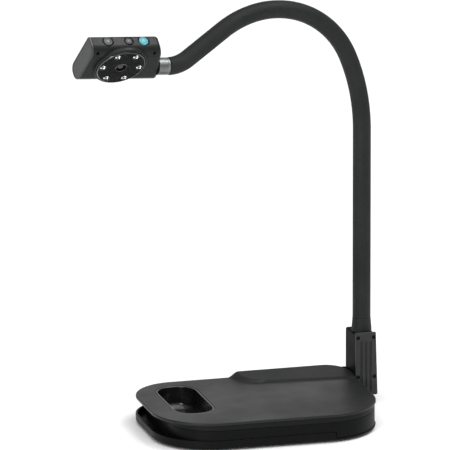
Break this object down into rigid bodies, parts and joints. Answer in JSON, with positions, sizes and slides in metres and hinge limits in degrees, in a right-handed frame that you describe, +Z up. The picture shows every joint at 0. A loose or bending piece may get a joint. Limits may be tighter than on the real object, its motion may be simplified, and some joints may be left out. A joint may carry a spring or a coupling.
{
  "type": "document camera",
  "caption": "Desk document camera: weighted slab base with a hand recess, folding arm bracket, flexible gooseneck and a tilting camera head with a ring of lamps and push buttons.",
  "frame": {"origin": "centre of the base tray's underside", "axes": "+X along the base towards the arm bracket, +Y towards the base's back edge, +Z up"},
  "size_m": [0.4046, 0.207, 0.5337],
  "materials": {
    "case_plastic": "fine textured charcoal moulding",
    "dark_gloss": "smooth near-black moulding",
    "neck_rubber": "matt black ribbed sleeve",
    "foot_rubber": "matt black rubber",
    "screw_steel": "black oxide",
    "bare_steel": "plain steel",
    "board_green": "solder-masked board",
    "cap_grey": "satin grey",
    "collar_grey": "satin grey",
    "button_grey": "satin grey",
    "button_teal": "satin teal",
    "led_clear": "clear domed lens",
    "lens_glass": "coated lens glass"
  },
  "bodies": {
    "base": {"base_tray": "case_plastic", "lower_shell": "case_plastic", "upper_shell": "case_plastic", "handle_well": "dark_gloss", "ballast_plate": "bare_steel", "main_board": "board_green", "usb_socket": "bare_steel", "hinge_knuckle": "case_plastic", "friction_washer": "bare_steel", "foot_1": "foot_rubber", "foot_2": "foot_rubber", "foot_3": "foot_rubber", "foot_4": "foot_rubber", "base_screw_1": "screw_steel", "base_screw_2": "screw_steel", "base_screw_3": "screw_steel", "base_screw_4": "screw_steel"},
    "arm": {"bracket_shell": "case_plastic", "bracket_cover": "case_plastic", "cover_screw_1": "screw_steel", "cover_screw_2": "screw_steel", "cover_screw_3": "screw_steel", "cover_screw_4": "screw_steel", "hinge_shaft": "bare_steel", "hinge_nut": "bare_steel", "neck_boot": "neck_rubber", "neck_sleeve_1": "neck_rubber", "neck_core_1": "bare_steel"},
    "neck_2": {"neck_sleeve_2": "neck_rubber", "neck_core_2": "bare_steel"},
    "neck_3": {"neck_sleeve_3": "neck_rubber", "neck_core_3": "bare_steel"},
    "neck_4": {"neck_sleeve_4": "neck_rubber", "neck_core_4": "bare_steel"},
    "neck_5": {"neck_sleeve_5": "neck_rubber", "neck_core_5": "bare_steel"},
    "neck_6": {"neck_sleeve_6": "neck_rubber", "neck_core_6": "bare_steel"},
    "neck_7": {"neck_sleeve_7": "neck_rubber", "neck_core_7": "bare_steel", "neck_collar": "collar_grey"},
    "head": {"head_shell": "case_plastic", "head_end_cap": "cap_grey", "lens_disc": "dark_gloss", "lens_barrel": "dark_gloss", "lens_glass": "lens_glass", "led_board": "board_green", "sensor_board": "board_green", "led_1": "led_clear", "led_2": "led_clear", "led_3": "led_clear", "led_4": "led_clear", "led_5": "led_clear", "led_6": "led_clear", "head_screw_1": "screw_steel", "head_screw_2": "screw_steel"},
    "lamp_button": {"lamp_button": "button_grey"},
    "focus_button": {"focus_button": "button_grey"},
    "capture_button": {"capture_button": "button_teal"}
  },
  "joints": [
    {"name": "arm_fold", "type": "hinge", "parent": "base", "child": "arm", "pos_m": [0.1595, 0.0844, 0.028], "axis": [1, 0, 0], "range_deg": [0, 90]},
    {"name": "neck_lean_low", "type": "hinge", "parent": "arm", "child": "neck_2", "pos_m": [0.1595, 0.0844, 0.19724], "axis": [-0.9839, -0.1788, 0], "range_deg": [-22, 22]},
    {"name": "neck_bend_1", "type": "hinge", "parent": "neck_2", "child": "neck_3", "pos_m": [0.1595, 0.0844, 0.28848], "axis": [-0.1788, 0.9839, 0], "range_deg": [-25, 25]},
    {"name": "neck_bend_2", "type": "hinge", "parent": "neck_3", "child": "neck_4", "pos_m": [0.15774, 0.08408, 0.37965], "axis": [-0.1788, 0.9839, 0], "range_deg": [-25, 25]},
    {"name": "neck_bend_3", "type": "hinge", "parent": "neck_4", "child": "neck_5", "pos_m": [0.13043, 0.07912, 0.46586], "axis": [-0.1788, 0.9839, 0], "range_deg": [-25, 25]},
    {"name": "neck_lean_high", "type": "hinge", "parent": "neck_5", "child": "neck_6", "pos_m": [0.05883, 0.0661, 0.51713], "axis": [-0.2247, -0.0408, -0.9736], "range_deg": [-22, 22]},
    {"name": "neck_bend_4", "type": "hinge", "parent": "neck_6", "child": "neck_7", "pos_m": [-0.02774, 0.05037, 0.50357], "axis": [-0.1788, 0.9839, 0], "range_deg": [-25, 25]},
    {"name": "head_roll", "type": "hinge", "parent": "neck_7", "child": "head", "pos_m": [-0.1219, 0.03326, 0.46545], "axis": [0.9785, 0.1778, -0.1045], "range_deg": [-90, 60]},
    {"name": "lamp_press", "type": "slide", "parent": "head", "child": "lamp_button", "axis": [-0.1937, 0.6181, -0.7618], "range_m": [0, 0.0008], "stiffness_N_per_m": 400},
    {"name": "focus_press", "type": "slide", "parent": "head", "child": "focus_button", "axis": [-0.1937, 0.6181, -0.7618], "range_m": [0, 0.0008], "stiffness_N_per_m": 400},
    {"name": "capture_press", "type": "slide", "parent": "head", "child": "capture_button", "axis": [-0.1937, 0.6181, -0.7618], "range_m": [0, 0.0008], "stiffness_N_per_m": 400}
  ]
}
